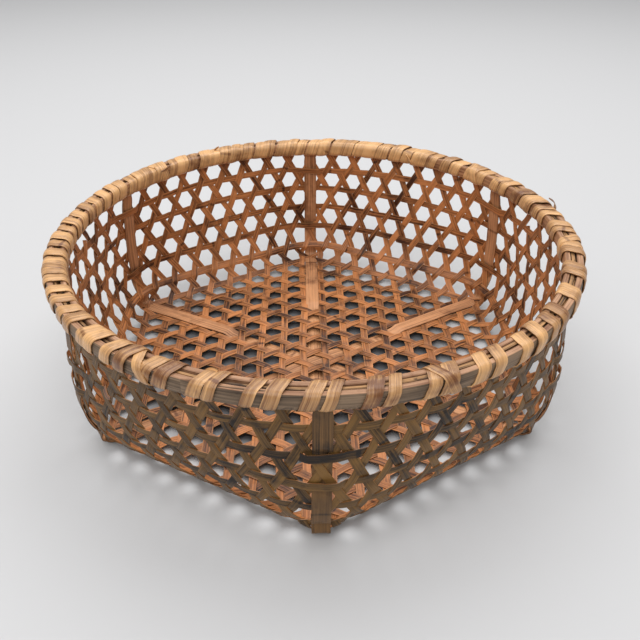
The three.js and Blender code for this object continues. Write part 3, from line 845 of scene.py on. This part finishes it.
def layTurns(name, share, around, swell, widths, shade, seed, node):
    radius, level = lashingLoop(share, swell)
    angle = bearing(around)
    middle = towards(angle) * radius[:, None]
    middle[:, 2] = level
    tangent = unit(np.gradient(middle, axis=0))
    centre = towards(angle) * ((rim["inner"][0] + rim["outer"][1]) / 2)
    centre[:, 2] = hoopMiddle
    sideways = towards(angle + math.pi / 2)
    across = unit(sideways - tangent * (sideways * tangent).sum(-1, keepdims=True))
    face = np.cross(across, tangent)
    face *= np.sign(((middle - centre) * face).sum(-1, keepdims=True))
    backness = 0.5 + 0.5 * np.sin(angle)
    width = (lashing["width"] + (lashing["backWidth"] - lashing["width"]) * backness) * widths
    points = middle[:, None] + (width[:, None] * lashShares)[..., None] * across[:, None]
    points = points - face[:, None] * (lashing["crown"] * (lashShares * 2) ** 2)[:, None]
    shade = shade + lashing["backLighter"] * (lashing["evenBackness"] - backness)
    addStrip(name, points, lashing["thickness"], seed, shade, lengthAlong(middle),
             lashingMaterial, node)


def placeTurns():
    # places of all the turns, in the order in which they are wound: towards lower numbers
    own = np.random.default_rng(1300)
    sweep = np.linspace(0, aroundHoles, 2001)
    periods = np.interp(sweep / aroundHoles * 360 - 90, lashing["pairAngles"], lashing["pairHoles"])
    passed = np.concatenate([[0], np.cumsum(2 / (periods[1:] + periods[:-1]) * np.diff(sweep))])
    pairs = round(passed[-1])
    places = np.interp(np.arange(pairs) * passed[-1] / pairs, passed, sweep)
    apart = np.interp(places, sweep, periods)
    apart = apart * (lashing["turnApart"] + lashing["apartAtBack"] * (max(lashing["pairHoles"]) - apart))
    places = np.stack([places - apart / 2, places + apart / 2]).reshape(-1) + 5 * holes
    return np.sort((places + own.normal(0, lashing["unevenPlace"], len(places))) % aroundHoles)[::-1]


turnPlaces = placeTurns()
holesPerStrip = aroundHoles / lashing["strips"]
for strip in range(lashing["strips"]):
    # the strip climbs the inside, crosses the top and comes down outside
    centres = turnPlaces[(aroundHoles - turnPlaces) // holesPerStrip == strip]
    turns = len(centres)
    turnAt = np.linspace(0.02, turns - 0.02, turns * lashing["stationsPerTurn"])
    nearest = np.round(turnAt).astype(int)
    earlier, later = np.clip(nearest - 1, 0, turns - 1), np.clip(nearest, 0, turns - 1)
    change = smooth(turnAt - nearest, *lashing["changeAt"])
    place = centres[earlier] * (1 - change) + centres[later] * change
    ownTurn = earlier * (1 - change) + later * change
    around = place + lashing["slant"] * (ownTurn + lashing["slantFrom"] - turnAt)
    own = np.random.default_rng(1310 + strip)
    middles = np.arange(-1, turns + 1)
    swell = lashing["swell"] * np.interp(turnAt - 0.5, middles, middles % 2)
    looseTurns = own.uniform(0, 1, turns + 2) ** 4 * lashing["loose"]
    swell = swell + looseTurns[np.floor(turnAt).astype(int)] * np.sin(math.pi * turnAt) ** 2
    widths = 1 + own.normal(0, lashing["unevenWidth"], turns + 2).clip(*lashing["widthLimits"])
    shades = own.normal(0, lashing["shade"], turns + 2)
    layTurns(f"lashing{strip + 1}", turnAt, around, swell, np.interp(turnAt - 0.5, middles, widths),
             np.interp(turnAt - 0.5, middles, shades), 1300 + strip, f"rim_lashing_{3 - strip // 2}")

for index, (begin, end) in enumerate(lashing["crossing"]):
    share = np.linspace(0.03, 0.97, lashing["stationsPerTurn"])
    layTurns(f"lashingAcross{index + 1:02d}", share, begin + (end - begin) * share, lashing["crossingSwell"],
             lashing["crossingWidth"] + 0.05 * (index % 4), 0.1 * (index % 3) - 0.12, 1350 + index,
             f"rim_lashing_{int(begin // (aroundHoles / 3)) + 1}")
print("lashing wound")

# Loose ends of lashing and of a weft: each one's node, width and three places along it, which are
# degrees round the basket, radius and height
looseEnds = {
    "Spike": ("rim_lashing_2", 0.003, (118.8, 0.2405, 0.165), (118, 0.24, 0.1682), (117.4, 0.2395, 0.1686)),
    "Curl": ("rim_lashing_2", 0.0052, (138, 0.23, 0.161), (136, 0.225, 0.1655), (134.6, 0.2296, 0.1672)),
    "Loop": ("rim_lashing_1", 0.0046, (9, 0.248, 0.164), (10.5, 0.2535, 0.1665), (12.5, 0.249, 0.168)),
    "Stub": ("rim_lashing_1", 0.005, (60, 0.231, 0.16), (58.8, 0.2268, 0.1565), (58.2, 0.2285, 0.1525)),
    "Flap": ("rim_lashing_3", 0.0058, (251.4, 0.2312, 0.161), (249.6, 0.2276, 0.1612),
             (248.4, 0.2282, 0.156)),
    "Fray": ("weft_5", 0.005, (226, 0.244, 0.115), (228.4, 0.25, 0.1135), (230.4, 0.2515, 0.119)),
}
looseLook = {"thickness": 0.0008, "stations": 12, "taper": 0.55, "shade": 0.12}
for index, (name, (node, width, *places)) in enumerate(looseEnds.items()):
    part = np.linspace(0, 1, looseLook["stations"])[:, None]
    first, second, third = (towards(np.radians(angle)) * radius + (0, 0, level)
                            for angle, radius, level in places)
    path = first * (1 - part) ** 2 + second * 2 * part * (1 - part) + third * part**2
    upright = unit(np.cross(np.gradient(path, axis=0), first))
    taper = width * (1 - looseLook["taper"] * part**2)
    points = path[:, None] + (taper * lashShares)[..., None] * upright[:, None]
    material, slot = (weaveMaterial, "weft_strip") if node == "weft_5" else (lashingMaterial, "lashing_strip")
    addStrip(f"looseEnd{name}", points, looseLook["thickness"], 1400 + index, looseLook["shade"],
             lengthAlong(path), material, node)
print("loose ends added")

# Floor, light and camera

# The floor has a painted shadow: it is dark where only the openings of the base show it, in a patch with six
# sides like the base
floorLook = {"colour": (204, 204, 205), "paintedShadowColour": (88, 88, 90), "paintedShadowWithin": (0.138, 0.186),
             "paintedShadowCentre": (-0.012, 0.014, 0), "rough": 0.7, "size": 8.0, "below": 0.0002}
bpy.ops.object.select_all(action="DESELECT")
bpy.ops.mesh.primitive_plane_add(size=floorLook["size"], location=(0, 0, -floorLook["below"]))
floor = bpy.context.object
floor.name = "floor"
material, wires, shader = newMaterial("paleFloorPaintedShadow")
place = wires.add("ShaderNodeTexCoord").outputs["Object"]
fromCentre = wires.vectors("SUBTRACT", place, floorLook["paintedShadowCentre"])
reach = 0.0
for degrees in (0, 60, 120):
    across = wires.vectors("DOT_PRODUCT", fromCentre, towards(math.radians(degrees)))
    reach = wires.maths("MAXIMUM", wires.maths("ABSOLUTE", across), reach)
# painted shadow under the basket, mixed into the floor's colour
wires.link(wires.mix(wires.spread(reach, *floorLook["paintedShadowWithin"]), linear(*floorLook["paintedShadowColour"]),
                     linear(*floorLook["colour"])), shader.inputs["Base Color"])
shader.inputs["Roughness"].default_value = floorLook["rough"]
floor.data.materials.append(material)

lamps = {
    "keyLight": {"place": (0.1, 1.0, 2.3), "target": (0, 0, 0.05), "size": (3.2, 2.2), "power": 54.0},
    "fillLight": {"place": (-0.5, -1.3, 2.1), "target": (0, 0, 0.1), "size": (2.6, 1.8), "power": 33.0},
}
worldStrength = 0.4
scene = bpy.context.scene
scene.world = bpy.data.worlds.new("studio")
scene.world.use_nodes = True
background = scene.world.node_tree.nodes["Background"]
background.inputs["Color"].default_value = (1, 1, 1, 1)
background.inputs["Strength"].default_value = worldStrength
for name, lamp in lamps.items():
    light = bpy.data.lights.new(name, "AREA")
    light.shape = "RECTANGLE"
    light.size, light.size_y = lamp["size"]
    light.energy = lamp["power"]
    stand = bpy.data.objects.new(name, light)
    scene.collection.objects.link(stand)
    stand.location = lamp["place"]
    facing = Vector(lamp["target"]) - Vector(lamp["place"])
    stand.rotation_euler = facing.to_track_quat("-Z", "Y").to_euler()

# Focal length and the picture's centre are in pixels of the picture's width
view = {"focal": 714.6, "distance": 0.7335, "elevation": 32.5, "yaw": -1.23, "roll": 0.18,
        "centre": (314.6, 301.9), "width": 640, "target": (0, 0, 0.08), "sensor": 36}
camera = bpy.data.cameras.new("camera")
cameraObject = bpy.data.objects.new("camera", camera)
scene.collection.objects.link(cameraObject)
elevation, azimuth = math.radians(view["elevation"]), math.radians(view["yaw"] - 90)
back = Vector(towards(azimuth) * math.cos(elevation) + (0, 0, math.sin(elevation)))
cameraObject.location = Vector(view["target"]) + back * view["distance"]
facing = back.to_track_quat("Z", "Y").to_matrix().to_4x4()
cameraObject.rotation_euler = (facing @ Matrix.Rotation(math.radians(-view["roll"]), 4, "Z")).to_euler()
camera.sensor_width = view["sensor"]
camera.lens = view["sensor"] * view["focal"] / view["width"]
camera.shift_x = 0.5 - view["centre"][0] / view["width"]
camera.shift_y = view["centre"][1] / view["width"] - 0.5
camera.clip_start = 0.01
scene.camera = cameraObject
scene.view_settings.view_transform = "Standard"
print("floor, light and camera set")
